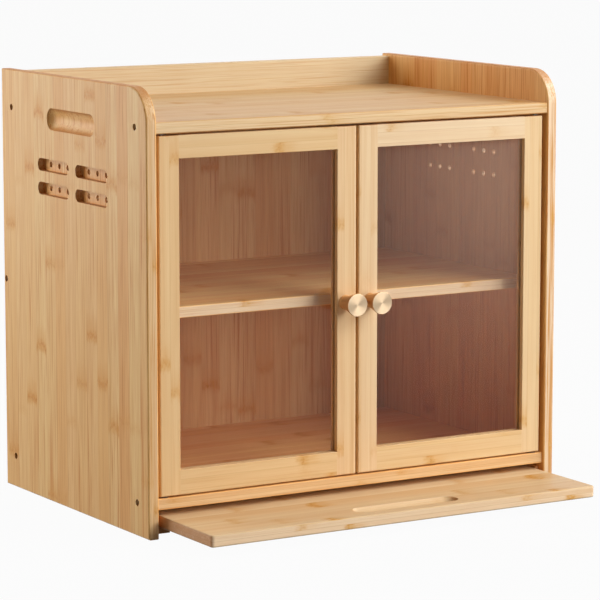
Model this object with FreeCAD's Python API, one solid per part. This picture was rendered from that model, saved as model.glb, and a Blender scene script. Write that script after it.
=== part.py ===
import FreeCAD, Part
import os

# Counter-top bread box in laminated bamboo: an open carcass of two side panels, a sunken top board
# with a back rail, a floor board, a shelf and a back panel; two framed doors with clear panes, each
# turning on two steel pins; and a cutting board that slides on runners below the floor board.
#
# X runs across the front, +Y to the back, +Z up. The origin lies on the counter, under the middle of
# the footprint with the cutting board drawn out by PULL. Depths are counted from the front edge of
# the side panels and turned to Y by at_depth().

Vector = FreeCAD.Vector

# ---- carcass --------------------------------------------------------------------------------------
WIDTH = 400.0                  # over both side panels
DEPTH = 265.0                  # side panel, front edge to back edge
HEIGHT = 366.0                 # side panel
STOCK = 9.5                    # thickness of the panels, boards, shelf and rail
PULL = 80.0                    # how far the cutting board stands out of the carcass

CORNER_R = 29.0                # rounded top front corner of a side panel
PANEL_EASE = 1.5               # rounding of the side panels' edges
BOARD_EASE = 1.0               # rounding of the other boards' front edges

TOP_BOARD_Z = 329.0            # underside of the top board
TOP_SETBACK = 1.0              # top board behind the panels' front edges
FLOOR_Z = 23.0                 # underside of the floor board
FLOOR_SETBACK = 3.0            # floor board and doors behind the panels' front edges
SHELF_Z = 175.0                # underside of the shelf
SHELF_SETBACK = 27.0
HOUSING = 3.0                  # how deep shelf and back panel sit in the side panels
BACK_DEPTH = 258.0             # front face of the back panel
BACK_STOCK = 5.0
REAR_SETBACK = 2.0             # top board, floor board and rail before the panels' back edges
RAIL_HEIGHT = 25.5
DOWEL_R = 3.0
DOWEL_LENGTH = 20.0
DOWEL_IN_BOARD = 7.0
DOWEL_X = (-150.0, -50.0, 50.0, 150.0)

# ---- scooped grips and vents ----------------------------------------------------------------------
SCOOP_CUTTER_R = 10.6          # round-nosed cutter
SCOOP_DEPTH = 5.5
SIDE_SCOOP_LENGTH = 88.0
SIDE_SCOOP_DEPTH = 133.5       # middle of the side grips, from the front edge
BOARD_SCOOP_LENGTH = 101.0
BOARD_SCOOP_OFFSET = 8.0       # the cutting board's groove sits a little right of the middle
BOARD_SCOOP_INSET = 20.0       # its centre line from the board's front edge
VENT_LENGTH = 58.0
VENT_HEIGHT = 10.8
VENT_POCKET = 6.0              # how deep a vent pocket is cut into the outer face
VENT_HOLE_R = 2.4
VENT_HOLE_PITCH = 15.8
VENT_DEPTHS = (96.5, 166.5)    # pocket centres, from the front edge
VENT_HEIGHTS = (269.0, 289.2)  # pocket centres, from the counter

# ---- doors ----------------------------------------------------------------------------------------
DOOR_STOCK = 10.0
DOOR_BOTTOM = 33.7
DOOR_TOP = 327.3
SIDE_GAP = 3.2                 # door to side panel
MEETING_GAP = 2.4              # door to door
STILE = 18.5
TOP_RAIL = 19.0
BOTTOM_RAIL = 20.5
DOOR_EASE = 1.2                # outer edges of a door frame
SIGHT_EASE = 0.5               # edges round the pane
PANE_STOCK = 2.5
PANE_REVEAL = 4.2              # door face to pane
GROOVE_DEPTH = 6.0
GROOVE_PLAY = 0.05             # each side of the pane
PANE_BITE = 5.0                # how far the pane reaches into its grooves
TENON_SHOULDER = 4.0           # wood left between a stub tenon and the door's edge
PIVOT_INSET = 5.0              # pin axis from the door's hinged edge

# ---- knobs ----------------------------------------------------------------------------------------
KNOB_Z = 180.3
KNOB_INSET = 10.9              # knob axis from the meeting edge
KNOB_FOOT_R = 6.0
KNOB_FACE_R = 9.5
KNOB_LENGTH = 20.0
KNOB_FOOT = 1.2                # straight foot against the door
KNOB_WAIST = 1.7               # the narrowest place, from the door
KNOB_WAIST_R = 5.5
KNOB_RIM = 1.2                 # straight rim behind the face
KNOB_CHAMFER = 0.4

# ---- pins and bushes ------------------------------------------------------------------------------
PIN_R = 1.5
PIN_IN_STILE = 12.0
PIN_IN_BOARD = 5.2
PIN_TIP = 0.4                  # chamfer
BUSH_R = 2.75
BUSH_CLEARANCE = 0.05          # running clearance, on the radius
BUSH_DEPTH = 6.0
FLANGE_R = 4.0
FLANGE = 0.8

# ---- magnetic catch -------------------------------------------------------------------------------
CATCH_HALF = 18.9
CATCH_DEPTHS = (14.6, 28.0)
CATCH_HEIGHT = 13.5
CATCH_EASE = 1.0
EAR_HALF = 28.0
EAR_DEPTHS = (17.0, 26.0)
EAR_THICKNESS = 3.0
EAR_CORNER_R = 4.0
EAR_SCREW_X = 23.5
MAGNET_WIDTH = 14.0
MAGNET_HEIGHT = 9.0
MAGNET_THICKNESS = 3.5
MAGNET_PROUD = 0.2
STRIKE_Z = 321.2               # middle of magnets and strike plates
STRIKE_THICKNESS = 1.0
STRIKE_CORNER_R = 1.5

# ---- cutting board and what carries it ------------------------------------------------------------
CUTTING_BOARD_Z = 8.0          # underside
CUTTING_BOARD_STOCK = 10.0
CUTTING_BOARD_LENGTH = 252.0   # front to back
CUTTING_BOARD_GAP = 3.7        # board to side panel
CUTTING_BOARD_EASE = 1.5
CUTTING_BOARD_CORNER_R = 3.0
RUNNER_DEPTHS = (8.0, 250.0)
RUNNER_Z = 2.5                 # underside of a runner
RUNNER_WIDTH = 14.0
RUNNER_PLAY = 0.3              # board above the runner's ledge
UPSTAND = 3.0                  # the runner's guide beside the board
UPSTAND_TOP = 19.5
STOP_HALF = 150.0
STOP_Z = 10.5
STOP_SCREW_X = (-120.0, 0.0, 120.0)

# ---- fasteners ------------------------------------------------------------------------------------
SCREW_R = 1.5
SCREW_HEAD_R = 2.6
SCREW_HEAD = 1.8
SCREW_CLEARANCE_R = 1.7
SCREW_HEAD_EASE = 0.6          # chamfer of a head's rim
CROSS_WIDTH = 0.7
CROSS_DEPTH = 1.1
CROSS_SPAN = 1.1               # length of the cross recess, as a share of the head's radius
SINK_R = 2.8                   # counterbore over a sunk head
SIDE_SINK = 4.0                # seat of the side screws below the outer face
SIDE_SCREW_LENGTH = 28.0       # below the head
FRONT_SCREW_DEPTH = 20.0
REAR_SCREW_DEPTH = 246.0
STOP_SINK = 4.0
STOP_SCREW_LENGTH = 16.0
EAR_SCREW_LENGTH = 9.0
KNOB_SCREW_R = 2.0
KNOB_SCREW_HEAD_R = 4.0
KNOB_SCREW_HEAD = 2.0
KNOB_SCREW_BITE = 8.0
STRIKE_SCREW_R = 1.2
STRIKE_SCREW_HEAD_R = 2.2
STRIKE_SCREW_LENGTH = 6.0
BRAD_R = 0.6
BRAD_HEAD_R = 1.1
BRAD_HEAD = 0.8
BRAD_LENGTH = 9.0
BRAD_Z = 13.5
BRAD_DEPTHS = (40.0, 130.0, 215.0)

# ---- worked out from the above --------------------------------------------------------------------
FRONT = (PULL - DEPTH) / 2               # Y of the side panels' front edges
REAR = DEPTH - REAR_SETBACK              # back edges of the top board, floor board and rail
INNER = WIDTH / 2 - STOCK                # X of a side panel's inner face
TOP_FACE = TOP_BOARD_Z + STOCK
FLOOR_FACE = FLOOR_Z + STOCK
DOOR_OUTER = INNER - SIDE_GAP            # hinged edge of a door
DOOR_INNER = MEETING_GAP / 2             # meeting edge of a door
DOOR_BACK = FLOOR_SETBACK + DOOR_STOCK
PIVOT_X = DOOR_OUTER - PIVOT_INSET
PIVOT_DEPTH = FLOOR_SETBACK + DOOR_STOCK / 2
KNOB_X = DOOR_INNER + KNOB_INSET
STRIKE_X = DOOR_INNER + STILE / 2
RUNNER_LEDGE = CUTTING_BOARD_Z - RUNNER_PLAY
STOP_FRONT = REAR - STOCK                # the cutting board comes to rest here when pushed in
RIGHT = Vector(1, 0, 0)
REARWARD = Vector(0, 1, 0)
UP = Vector(0, 0, 1)


# ---- helpers --------------------------------------------------------------------------------------
def at_depth(depth):
    """Y of a point that lies `depth` behind the side panels' front edges."""
    return FRONT + depth


def slab(x, depth, z):
    """Box between two X values, two depths and two heights, each given as a pair."""
    size = (x[1] - x[0], depth[1] - depth[0], z[1] - z[0])
    return Part.makeBox(*size, Vector(x[0], at_depth(depth[0]), z[0]))


def rod(radius, start, direction, length):
    """Cylinder from start along direction."""
    return Part.makeCylinder(radius, length, start, direction)


def point(x, depth, z):
    return Vector(x, at_depth(depth), z)


def mirrored(shape):
    """The same piece on the right-hand side."""
    return shape.mirror(Vector(0, 0, 0), RIGHT)


def edges_on(shape, axis, value):
    """Edges that lie wholly in the plane where the named axis has this value."""
    def span(edge):
        box = edge.BoundBox
        return getattr(box, axis + "Min"), getattr(box, axis + "Max")
    return [edge for edge in shape.Edges if max(abs(end - value) for end in span(edge)) < 1e-4]


def edges_along(shape, axis):
    """Straight edges parallel to the named axis."""
    others = [name for name in "XYZ" if name != axis]
    return [edge for edge in shape.Edges
            if max(getattr(edge.BoundBox, name + "Length") for name in others) < 1e-4]


def front_edges(board, setback):
    """The two long edges at a board's front."""
    return [edge for edge in edges_along(board, "X")
            if abs(edge.BoundBox.YMin - at_depth(setback)) < 1e-4]


def cut_all(shape, cutters):
    return shape.cut(Part.makeCompound(cutters))


def stadium(length, height, centre, thickness):
    """Slot cutter with round ends, long in Y, cut `thickness` deep along X from its centre point."""
    radius = height / 2
    half = length / 2 - radius
    middle = Part.makeBox(thickness, 2 * half, height, centre - Vector(0, half, radius))
    ends = [rod(radius, centre + REARWARD * side * half, RIGHT, thickness) for side in (-1, 1)]
    return middle.multiFuse(ends).removeSplitter()


def scoop(length, along, surface_point, outward):
    """Path of a round-nosed cutter sunk SCOOP_DEPTH into a surface: a rod with ball ends.

    length is the scoop's whole outline on the surface, surface_point the outline's middle.
    """
    lift = SCOOP_CUTTER_R - SCOOP_DEPTH
    outline_r = (SCOOP_CUTTER_R ** 2 - lift ** 2) ** 0.5
    half = length / 2 - outline_r
    centre = surface_point + outward * lift
    body = rod(SCOOP_CUTTER_R, centre - along * half, along, 2 * half)
    balls = [Part.makeSphere(SCOOP_CUTTER_R, centre + along * side * half) for side in (-1, 1)]
    return body.multiFuse(balls)


def screw(seat, direction, length, radius=SCREW_R, head_r=SCREW_HEAD_R, head=SCREW_HEAD):
    """Pan-head screw: the head's underside rests at seat, the shank runs along direction."""
    top = seat - direction * head
    solid = rod(head_r, top, direction, head)
    rim = [edge for edge in solid.Edges if edge.BoundBox.Center.isEqual(top, 1e-4)]
    solid = solid.makeChamfer(SCREW_HEAD_EASE, rim)
    solid = solid.fuse(rod(radius, seat, direction, length)).removeSplitter()
    arm = head_r * CROSS_SPAN
    across = REARWARD if abs(direction.dot(REARWARD)) < 0.5 else RIGHT
    other = direction.cross(across)
    for long_way, short_way in ((across, other), (other, across)):
        corner = top - long_way * (arm / 2) - short_way * (CROSS_WIDTH / 2)
        outline = [corner, corner + long_way * arm]
        outline += [outline[1] + short_way * CROSS_WIDTH, corner + short_way * CROSS_WIDTH, corner]
        solid = solid.cut(Part.Face(Part.makePolygon(outline)).extrude(direction * CROSS_DEPTH))
    return solid


# ---- where the fasteners go -----------------------------------------------------------------------
def side_screw_points():
    """Middle of each left side screw at the outer face: two boards and the back panel's edge."""
    heights = (TOP_BOARD_Z + STOCK / 2, FLOOR_Z + STOCK / 2)
    points = [point(-WIDTH / 2, depth, z) for z in heights
              for depth in (FRONT_SCREW_DEPTH, REAR_SCREW_DEPTH)]
    return points + [point(-WIDTH / 2, BACK_DEPTH + BACK_STOCK / 2, HEIGHT / 2)]


def side_screws():
    """Five sunk screws of the left side panel."""
    return Part.makeCompound([screw(spot + RIGHT * SIDE_SINK, RIGHT, SIDE_SCREW_LENGTH)
                              for spot in side_screw_points()])


def side_screw_pilots():
    """Shank holes of the side screws, both sides, as cut into the boards that they hold."""
    left = [rod(SCREW_R, spot + RIGHT * SIDE_SINK, RIGHT, SIDE_SCREW_LENGTH)
            for spot in side_screw_points()]
    return left + [mirrored(pilot) for pilot in left]


def stop_screw_seats():
    middle = (STOP_FRONT + REAR) / 2
    return [point(x, middle, STOP_Z + STOP_SINK) for x in STOP_SCREW_X]


def ear_screw_seats():
    middle = sum(EAR_DEPTHS) / 2
    return [point(x, middle, TOP_BOARD_Z - EAR_THICKNESS) for x in (-EAR_SCREW_X, EAR_SCREW_X)]


def dowel_bases():
    middle = REAR - STOCK / 2
    return [point(x, middle, TOP_FACE - DOWEL_IN_BOARD) for x in DOWEL_X]


def brad_heads():
    """Face of each brad head on the left runner's upstand."""
    return [point(-INNER + UPSTAND, depth, BRAD_Z) for depth in BRAD_DEPTHS]


def bush_bores(z, direction):
    """Holes for the two bushes in a board: z is the board's face, direction runs into the wood."""
    return [rod(BUSH_R, point(x, PIVOT_DEPTH, z), direction, BUSH_DEPTH)
            for x in (-PIVOT_X, PIVOT_X)]


# ---- carcass pieces -------------------------------------------------------------------------------
def side_panel():
    """Left side panel: rounded top front corner, scooped grip, vent pockets, sunk screw holes."""
    outer = -WIDTH / 2
    panel = slab((outer, -INNER), (0, DEPTH), (0, HEIGHT))
    corner = [edge for edge in edges_along(panel, "X")
              if edge.BoundBox.ZMin > HEIGHT - 1 and edge.BoundBox.YMax < FRONT + 1]
    panel = panel.makeFillet(CORNER_R, corner)
    panel = panel.makeFillet(PANEL_EASE, edges_on(panel, "X", outer) + edges_on(panel, "X", -INNER))

    grip_middle = point(outer, SIDE_SCOOP_DEPTH, TOP_BOARD_Z)
    cutters = [scoop(SIDE_SCOOP_LENGTH, REARWARD, grip_middle, RIGHT * -1)]
    for depth in VENT_DEPTHS:
        for z in VENT_HEIGHTS:
            pocket = point(outer, depth, z)
            cutters.append(stadium(VENT_LENGTH, VENT_HEIGHT, pocket, VENT_POCKET))
            cutters += [rod(VENT_HOLE_R, pocket + REARWARD * step * VENT_HOLE_PITCH, RIGHT, STOCK)
                        for step in (-1, 0, 1)]
    for spot in side_screw_points():
        cutters.append(rod(SINK_R, spot, RIGHT, SIDE_SINK))
        cutters.append(rod(SCREW_CLEARANCE_R, spot, RIGHT, STOCK))
    housing = (-INNER - HOUSING, -INNER)
    cutters.append(slab(housing, (SHELF_SETBACK, BACK_DEPTH), (SHELF_Z, SHELF_Z + STOCK)))
    cutters.append(slab(housing, (BACK_DEPTH, BACK_DEPTH + BACK_STOCK), (FLOOR_FACE, TOP_BOARD_Z)))
    for head in brad_heads():
        cutters.append(rod(BRAD_R, head, RIGHT * -1, BRAD_LENGTH))
    for cutter in cutters:
        panel = panel.cut(cutter)
    return panel


def top_board():
    """Sunken top: carries the catch, the upper bushes and, on dowels, the back rail."""
    board = slab((-INNER, INNER), (TOP_SETBACK, REAR), (TOP_BOARD_Z, TOP_FACE))
    board = board.makeFillet(BOARD_EASE, front_edges(board, TOP_SETBACK))
    cutters = side_screw_pilots() + bush_bores(TOP_BOARD_Z, UP)
    cutters += [rod(SCREW_R, seat, UP, EAR_SCREW_LENGTH) for seat in ear_screw_seats()]
    cutters += [rod(DOWEL_R, base, UP, DOWEL_LENGTH) for base in dowel_bases()]
    return cut_all(board, cutters)


def floor_board():
    """Bottom board: floor of the lower compartment, with the lower bushes in its face."""
    board = slab((-INNER, INNER), (FLOOR_SETBACK, REAR), (FLOOR_Z, FLOOR_FACE))
    board = board.makeFillet(BOARD_EASE, front_edges(board, FLOOR_SETBACK))
    cutters = side_screw_pilots() + bush_bores(FLOOR_FACE, UP * -1)
    cutters += [rod(SCREW_R, seat, UP, STOP_SCREW_LENGTH) for seat in stop_screw_seats()]
    return cut_all(board, cutters)


def shelf():
    """Shelf, its ends let into the side panels."""
    reach = INNER + HOUSING
    board = slab((-reach, reach), (SHELF_SETBACK, BACK_DEPTH), (SHELF_Z, SHELF_Z + STOCK))
    return board.makeFillet(BOARD_EASE, front_edges(board, SHELF_SETBACK))


def back_panel():
    """Thin back, let into both side panels between the floor board and the top board."""
    reach = INNER + HOUSING
    panel = slab((-reach, reach), (BACK_DEPTH, BACK_DEPTH + BACK_STOCK), (FLOOR_FACE, TOP_BOARD_Z))
    return cut_all(panel, side_screw_pilots())


def back_rail():
    """Gallery rail that stands on the top board's rear edge."""
    rail = slab((-INNER, INNER), (REAR - STOCK, REAR), (TOP_FACE, TOP_FACE + RAIL_HEIGHT))
    upper = [edge for edge in edges_along(rail, "X")
             if edge.BoundBox.ZMin > TOP_FACE + RAIL_HEIGHT - 1]
    rail = rail.makeFillet(BOARD_EASE, upper)
    return cut_all(rail, [rod(DOWEL_R, base, UP, DOWEL_LENGTH) for base in dowel_bases()])


def rail_dowels():
    """Four beech dowels between the top board and the rail."""
    return Part.makeCompound([rod(DOWEL_R, base, UP, DOWEL_LENGTH) for base in dowel_bases()])


# ---- runners and stop -----------------------------------------------------------------------------
def runner():
    """Left runner: a rebated strip, its ledge under the cutting board, its upstand beside it."""
    wall = -INNER
    outline = [(wall, RUNNER_Z), (wall + RUNNER_WIDTH, RUNNER_Z),
               (wall + RUNNER_WIDTH, RUNNER_LEDGE), (wall + UPSTAND, RUNNER_LEDGE),
               (wall + UPSTAND, UPSTAND_TOP), (wall, UPSTAND_TOP)]
    corners = [point(x, RUNNER_DEPTHS[0], z) for x, z in outline]
    face = Part.Face(Part.makePolygon(corners + corners[:1]))
    strip = face.extrude(REARWARD * (RUNNER_DEPTHS[1] - RUNNER_DEPTHS[0]))
    lead_in = [edge for edge in edges_along(strip, "X")
               if edge.BoundBox.YMax < at_depth(RUNNER_DEPTHS[0]) + 1
               and abs(edge.BoundBox.ZMin - RUNNER_LEDGE) < 1e-4]
    strip = strip.makeFillet(BOARD_EASE, lead_in)
    cutters = []
    for head in brad_heads():
        cutters.append(rod(BRAD_R, head, RIGHT * -1, BRAD_LENGTH))
        cutters.append(rod(BRAD_HEAD_R, head, RIGHT * -1, BRAD_HEAD))
    return cut_all(strip, cutters)


def runner_brads():
    """Three brads that pin the left runner, their heads flush with its upstand."""
    brads = []
    for head in brad_heads():
        shank = rod(BRAD_R, head, RIGHT * -1, BRAD_LENGTH)
        brads.append(shank.fuse(rod(BRAD_HEAD_R, head, RIGHT * -1, BRAD_HEAD)).removeSplitter())
    return Part.makeCompound(brads)


def board_stop():
    """Strip below the floor board's rear edge that the cutting board is pushed in against."""
    strip = slab((-STOP_HALF, STOP_HALF), (STOP_FRONT, REAR), (STOP_Z, FLOOR_Z))
    cutters = []
    for seat in stop_screw_seats():
        cutters.append(rod(SINK_R, seat - UP * STOP_SINK, UP, STOP_SINK))
        cutters.append(rod(SCREW_CLEARANCE_R, seat, UP, STOP_SCREW_LENGTH))
    return cut_all(strip, cutters)


def stop_screws():
    return Part.makeCompound([screw(seat, UP, STOP_SCREW_LENGTH) for seat in stop_screw_seats()])


def cutting_board():
    """Sliding cutting board with a scooped finger groove near its front edge."""
    half = INNER - CUTTING_BOARD_GAP
    top = CUTTING_BOARD_Z + CUTTING_BOARD_STOCK
    depths = (-PULL, CUTTING_BOARD_LENGTH - PULL)
    board = slab((-half, half), depths, (CUTTING_BOARD_Z, top))
    board = board.makeFillet(CUTTING_BOARD_CORNER_R, edges_along(board, "Z"))
    rims = edges_on(board, "Z", CUTTING_BOARD_Z) + edges_on(board, "Z", top)
    board = board.makeFillet(CUTTING_BOARD_EASE, rims)
    middle = point(BOARD_SCOOP_OFFSET, BOARD_SCOOP_INSET - PULL, top)
    return board.cut(scoop(BOARD_SCOOP_LENGTH, RIGHT, middle, UP))


# ---- catch ----------------------------------------------------------------------------------------
def magnet_blocks():
    """Two magnets, one behind each door, a little proud of the catch."""
    face = CATCH_DEPTHS[0] - MAGNET_PROUD
    depths = (face, face + MAGNET_THICKNESS)
    heights = (STRIKE_Z - MAGNET_HEIGHT / 2, STRIKE_Z + MAGNET_HEIGHT / 2)
    return [slab((side * STRIKE_X - MAGNET_WIDTH / 2, side * STRIKE_X + MAGNET_WIDTH / 2),
                 depths, heights) for side in (-1, 1)]


def catch_body():
    """Moulded double catch: a block with two magnet seats and a screw ear at each end."""
    bottom = TOP_BOARD_Z - CATCH_HEIGHT
    block = slab((-CATCH_HALF, CATCH_HALF), CATCH_DEPTHS, (bottom, TOP_BOARD_Z))
    block = block.makeFillet(CATCH_EASE, edges_along(block, "Z") + edges_on(block, "Z", bottom))
    ears = slab((-EAR_HALF, EAR_HALF), EAR_DEPTHS, (TOP_BOARD_Z - EAR_THICKNESS, TOP_BOARD_Z))
    ears = ears.makeFillet(EAR_CORNER_R, edges_along(ears, "Z"))
    holes = [rod(SCREW_CLEARANCE_R, seat, UP, EAR_THICKNESS) for seat in ear_screw_seats()]
    return cut_all(block.fuse(ears).removeSplitter(), holes + magnet_blocks())


def catch_magnets():
    return Part.makeCompound(magnet_blocks())


def catch_screws():
    return Part.makeCompound([screw(seat, UP, EAR_SCREW_LENGTH) for seat in ear_screw_seats()])


# ---- bushes ---------------------------------------------------------------------------------------
def bush(z, direction):
    """Flanged bush of the left door, sunk into a board from its face at z."""
    start = point(-PIVOT_X, PIVOT_DEPTH, z)
    body = rod(BUSH_R, start, direction, BUSH_DEPTH)
    flange = rod(FLANGE_R, start - direction * FLANGE, direction, FLANGE)
    bore = rod(PIN_R + BUSH_CLEARANCE, start - direction * FLANGE, direction, FLANGE + BUSH_DEPTH)
    return body.fuse(flange).cut(bore).removeSplitter()


# ---- door pieces, all for the left door -----------------------------------------------------------
def door_opening():
    """X and Z ranges of the opening that the pane fills."""
    return (-DOOR_OUTER + STILE, -DOOR_INNER - STILE), (DOOR_BOTTOM + BOTTOM_RAIL, DOOR_TOP - TOP_RAIL)


def grown(ranges, margin):
    return [(low - margin, high + margin) for low, high in ranges]


def groove_depths():
    """Front and back of the pane groove."""
    start = FLOOR_SETBACK + PANE_REVEAL - GROOVE_PLAY
    return start, start + PANE_STOCK + 2 * GROOVE_PLAY


def door_frame():
    """The whole frame as sanded after glueing: eased edges, pane groove, not yet split."""
    opening_x, opening_z = door_opening()
    depths = (FLOOR_SETBACK, DOOR_BACK)
    frame = slab((-DOOR_OUTER, -DOOR_INNER), depths, (DOOR_BOTTOM, DOOR_TOP))
    rims = edges_on(frame, "Y", at_depth(depths[0])) + edges_on(frame, "Y", at_depth(depths[1]))
    frame = frame.makeFillet(DOOR_EASE, rims)
    frame = frame.cut(slab(opening_x, depths, opening_z))
    sight = [edge for edge in edges_on(frame, "Y", at_depth(depths[0]))
             if edge.BoundBox.XMin > opening_x[0] - 1e-3 and edge.BoundBox.XMax < opening_x[1] + 1e-3
             and edge.BoundBox.ZMin > opening_z[0] - 1e-3 and edge.BoundBox.ZMax < opening_z[1] + 1e-3]
    frame = frame.makeFillet(SIGHT_EASE, sight)
    groove_x, groove_z = grown((opening_x, opening_z), GROOVE_DEPTH)
    return frame.cut(slab(groove_x, groove_depths(), groove_z))


def tenons(rail_edge, groove_bottom):
    """Stub tenons at both ends of a rail, between its outer edge and its groove's bottom."""
    opening_x = door_opening()[0]
    low, high = sorted((rail_edge, groove_bottom))
    depths = groove_depths()
    ends = ((opening_x[0] - GROOVE_DEPTH, opening_x[0]), (opening_x[1], opening_x[1] + GROOVE_DEPTH))
    return [slab(x, depths, (low, high)) for x in ends]


def door_tenons():
    """Tenons of the bottom rail and of the top rail."""
    opening_z = door_opening()[1]
    return (tenons(DOOR_BOTTOM + TENON_SHOULDER, opening_z[0] - GROOVE_DEPTH),
            tenons(DOOR_TOP - TENON_SHOULDER, opening_z[1] + GROOVE_DEPTH))


def part_of_frame(x, z):
    """The part of the door frame between two X values and two heights."""
    return door_frame().common(slab(x, (0, 2 * DOOR_BACK), z))


def door_rail(which):
    """Bottom rail (0) or top rail (1) with its tenons."""
    opening_x, opening_z = door_opening()
    heights = ((DOOR_BOTTOM, opening_z[0]), (opening_z[1], DOOR_TOP))[which]
    rail = part_of_frame(opening_x, heights)
    return rail.multiFuse(door_tenons()[which]).removeSplitter()


def pin_axis_points():
    """Where the bottom pin and the top pin leave the door, each with the way into the wood."""
    return ((point(-PIVOT_X, PIVOT_DEPTH, DOOR_BOTTOM), UP),
            (point(-PIVOT_X, PIVOT_DEPTH, DOOR_TOP), UP * -1))


def hinge_stile():
    """Stile at the side panel, bored for the two pins."""
    opening_x = door_opening()[0]
    stile = part_of_frame((-DOOR_OUTER, opening_x[0]), (DOOR_BOTTOM, DOOR_TOP))
    bores = [rod(PIN_R, start, inward, PIN_IN_STILE) for start, inward in pin_axis_points()]
    return cut_all(stile, bores + door_tenons()[0] + door_tenons()[1])


def meeting_stile():
    """Stile at the middle, bored for the knob's screw and the strike plate's screw."""
    opening_x = door_opening()[0]
    stile = part_of_frame((opening_x[1], -DOOR_INNER), (DOOR_BOTTOM, DOOR_TOP))
    knob_hole = rod(KNOB_SCREW_R, point(-KNOB_X, FLOOR_SETBACK, KNOB_Z), REARWARD, DOOR_STOCK)
    return cut_all(stile, [knob_hole, strike_shank()] + door_tenons()[0] + door_tenons()[1])


def pane():
    """Clear sheet, held in the grooves all round."""
    front = FLOOR_SETBACK + PANE_REVEAL
    x, z = grown(door_opening(), PANE_BITE)
    return slab(x, (front, front + PANE_STOCK), z)


def pivot_pin(which):
    """Bottom pin (0) or top pin (1): a plain steel pin, chamfered at both ends."""
    start, inward = pin_axis_points()[which]
    face = (FLOOR_FACE, TOP_BOARD_Z)[which]
    reach = abs(start.z - face) + PIN_IN_BOARD
    pin = rod(PIN_R, start - inward * reach, inward, reach + PIN_IN_STILE)
    ends = [edge for edge in pin.Edges if edge.BoundBox.ZLength < 1e-4]
    return pin.makeChamfer(PIN_TIP, ends)


def knob():
    """Turned knob: a cone that widens from its foot to a flat face, with a tapped hole behind."""
    outline = [(0, 0), (KNOB_FOOT_R, 0), (KNOB_FOOT_R, KNOB_FOOT), (KNOB_WAIST_R, KNOB_WAIST),
               (KNOB_FACE_R, KNOB_LENGTH - KNOB_RIM), (KNOB_FACE_R, KNOB_LENGTH - KNOB_CHAMFER),
               (KNOB_FACE_R - KNOB_CHAMFER, KNOB_LENGTH), (0, KNOB_LENGTH)]
    axis = point(-KNOB_X, FLOOR_SETBACK, KNOB_Z)
    corners = [axis + RIGHT * radius - REARWARD * out for radius, out in outline]
    half = Part.Face(Part.makePolygon(corners + corners[:1]))
    solid = half.revolve(axis, REARWARD, 360)
    return solid.cut(rod(KNOB_SCREW_R, axis, REARWARD * -1, KNOB_SCREW_BITE))


def knob_screw():
    seat = point(-KNOB_X, DOOR_BACK, KNOB_Z)
    return screw(seat, REARWARD * -1, DOOR_STOCK + KNOB_SCREW_BITE, KNOB_SCREW_R,
                 KNOB_SCREW_HEAD_R, KNOB_SCREW_HEAD)


def strike_seat():
    """Cone of the strike plate's sunk screw head, widest at the plate's face."""
    face = point(-STRIKE_X, DOOR_BACK + STRIKE_THICKNESS, STRIKE_Z)
    return Part.makeCone(STRIKE_SCREW_HEAD_R, STRIKE_SCREW_R, STRIKE_THICKNESS, face, REARWARD * -1)


def strike_plate():
    """Steel plate that the catch's magnet holds."""
    x = (-STRIKE_X - MAGNET_WIDTH / 2, -STRIKE_X + MAGNET_WIDTH / 2)
    z = (STRIKE_Z - MAGNET_HEIGHT / 2, STRIKE_Z + MAGNET_HEIGHT / 2)
    plate = slab(x, (DOOR_BACK, DOOR_BACK + STRIKE_THICKNESS), z)
    return plate.makeFillet(STRIKE_CORNER_R, edges_along(plate, "Y")).cut(strike_seat())


def strike_shank():
    """Shank of the strike plate's screw, and the pilot hole in the stile."""
    start = point(-STRIKE_X, DOOR_BACK, STRIKE_Z)
    return rod(STRIKE_SCREW_R, start, REARWARD * -1, STRIKE_SCREW_LENGTH)


def strike_screw():
    return strike_seat().fuse(strike_shank()).removeSplitter()


# ---- the assembly ---------------------------------------------------------------------------------
def build():
    """Every node of the bread box, by name."""
    pieces = {
        "top_board": top_board(),
        "bottom_board": floor_board(),
        "shelf": shelf(),
        "back_panel": back_panel(),
        "back_rail": back_rail(),
        "rail_dowels": rail_dowels(),
        "board_stop": board_stop(),
        "stop_screws": stop_screws(),
        "catch_body": catch_body(),
        "catch_magnets": catch_magnets(),
        "catch_screws": catch_screws(),
        "cutting_board": cutting_board(),
    }
    handed = {
        "side_panel": side_panel(),
        "side_screws": side_screws(),
        "runner": runner(),
        "runner_brads": runner_brads(),
        "top_bush": bush(TOP_BOARD_Z, UP),
        "bottom_bush": bush(FLOOR_FACE, UP * -1),
        "door_hinge_stile": hinge_stile(),
        "door_meeting_stile": meeting_stile(),
        "door_bottom_rail": door_rail(0),
        "door_top_rail": door_rail(1),
        "door_pane": pane(),
        "door_bottom_pin": pivot_pin(0),
        "door_top_pin": pivot_pin(1),
        "door_knob": knob(),
        "door_knob_screw": knob_screw(),
        "door_strike_plate": strike_plate(),
        "door_strike_screw": strike_screw(),
    }
    for name, shape in handed.items():
        pieces["left_" + name] = shape
        pieces["right_" + name] = mirrored(shape)
    return pieces


os.makedirs("parts", exist_ok=True)
for name, shape in sorted(build().items()):
    shape.exportStep("parts/" + name + ".step")
    print(name, len(shape.Solids), "solids, valid:", shape.isValid())
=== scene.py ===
"""Dresses the bamboo bread box: studio, camera, bamboo boards, clear panes and turned brass knobs.

Everything is in metres in the CAD frame: X across the front, +Y to the back, +Z up. The boards, pins
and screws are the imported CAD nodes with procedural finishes; the knobs are turned here with numpy.
"""

from __future__ import annotations

import logging
import math
from collections.abc import Mapping, Sequence
from dataclasses import dataclass
from enum import Enum
from typing import ClassVar, Union

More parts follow.
